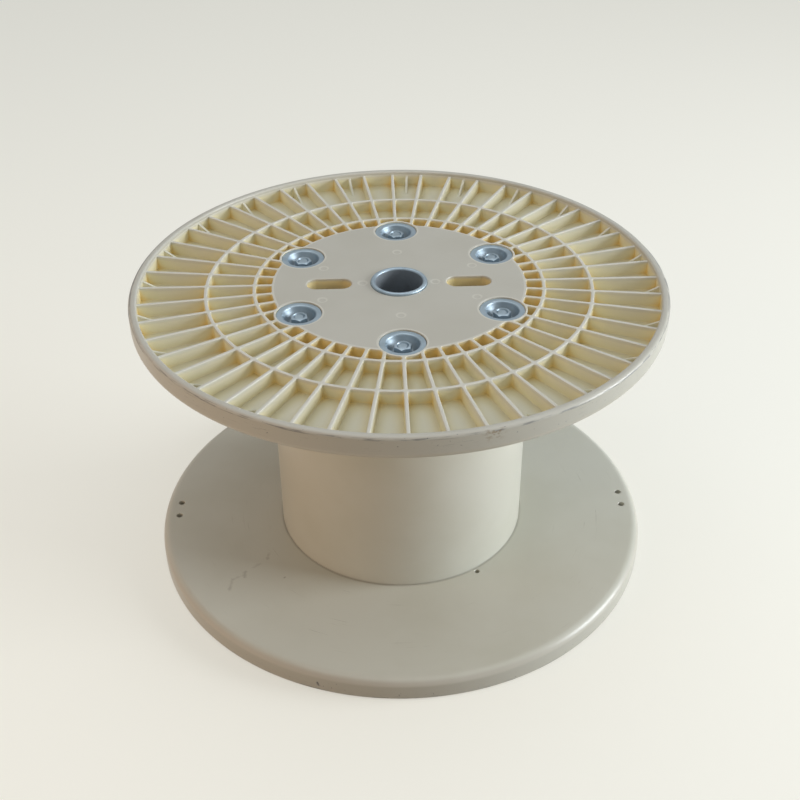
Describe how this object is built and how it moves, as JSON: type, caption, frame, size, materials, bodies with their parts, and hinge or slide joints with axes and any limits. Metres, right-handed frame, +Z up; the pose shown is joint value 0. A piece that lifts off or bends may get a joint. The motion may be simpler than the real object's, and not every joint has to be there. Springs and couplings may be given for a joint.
{
  "type": "plastic wire spool",
  "caption": "Ivory plastic spool for wire and cable: ribbed round flanges on a plain barrel, clamped by tie bolts in dished steel washers, with a steel-lined shaft bore and drive slots.",
  "frame": {"origin": "on the spool's axis, at the floor that its lower rim stands on", "axes": "+Z up along the spool's axis; the drive slots lie along X"},
  "size_m": [0.6299, 0.63, 0.372],
  "materials": {
    "ivory_plastic": "moulded satin",
    "zinc_steel": "zinc plated"
  },
  "bodies": {
    "root": {"flange_top": "ivory_plastic", "flange_bottom": "ivory_plastic", "barrel": "ivory_plastic", "centre_tube": "zinc_steel", "tie_bolt_1": "zinc_steel", "tie_bolt_2": "zinc_steel", "tie_bolt_3": "zinc_steel", "tie_bolt_4": "zinc_steel", "tie_bolt_5": "zinc_steel", "tie_bolt_6": "zinc_steel", "tie_nuts": "zinc_steel", "cup_washers_top": "zinc_steel", "cup_washers_bottom": "zinc_steel"}
  },
  "joints": []
}
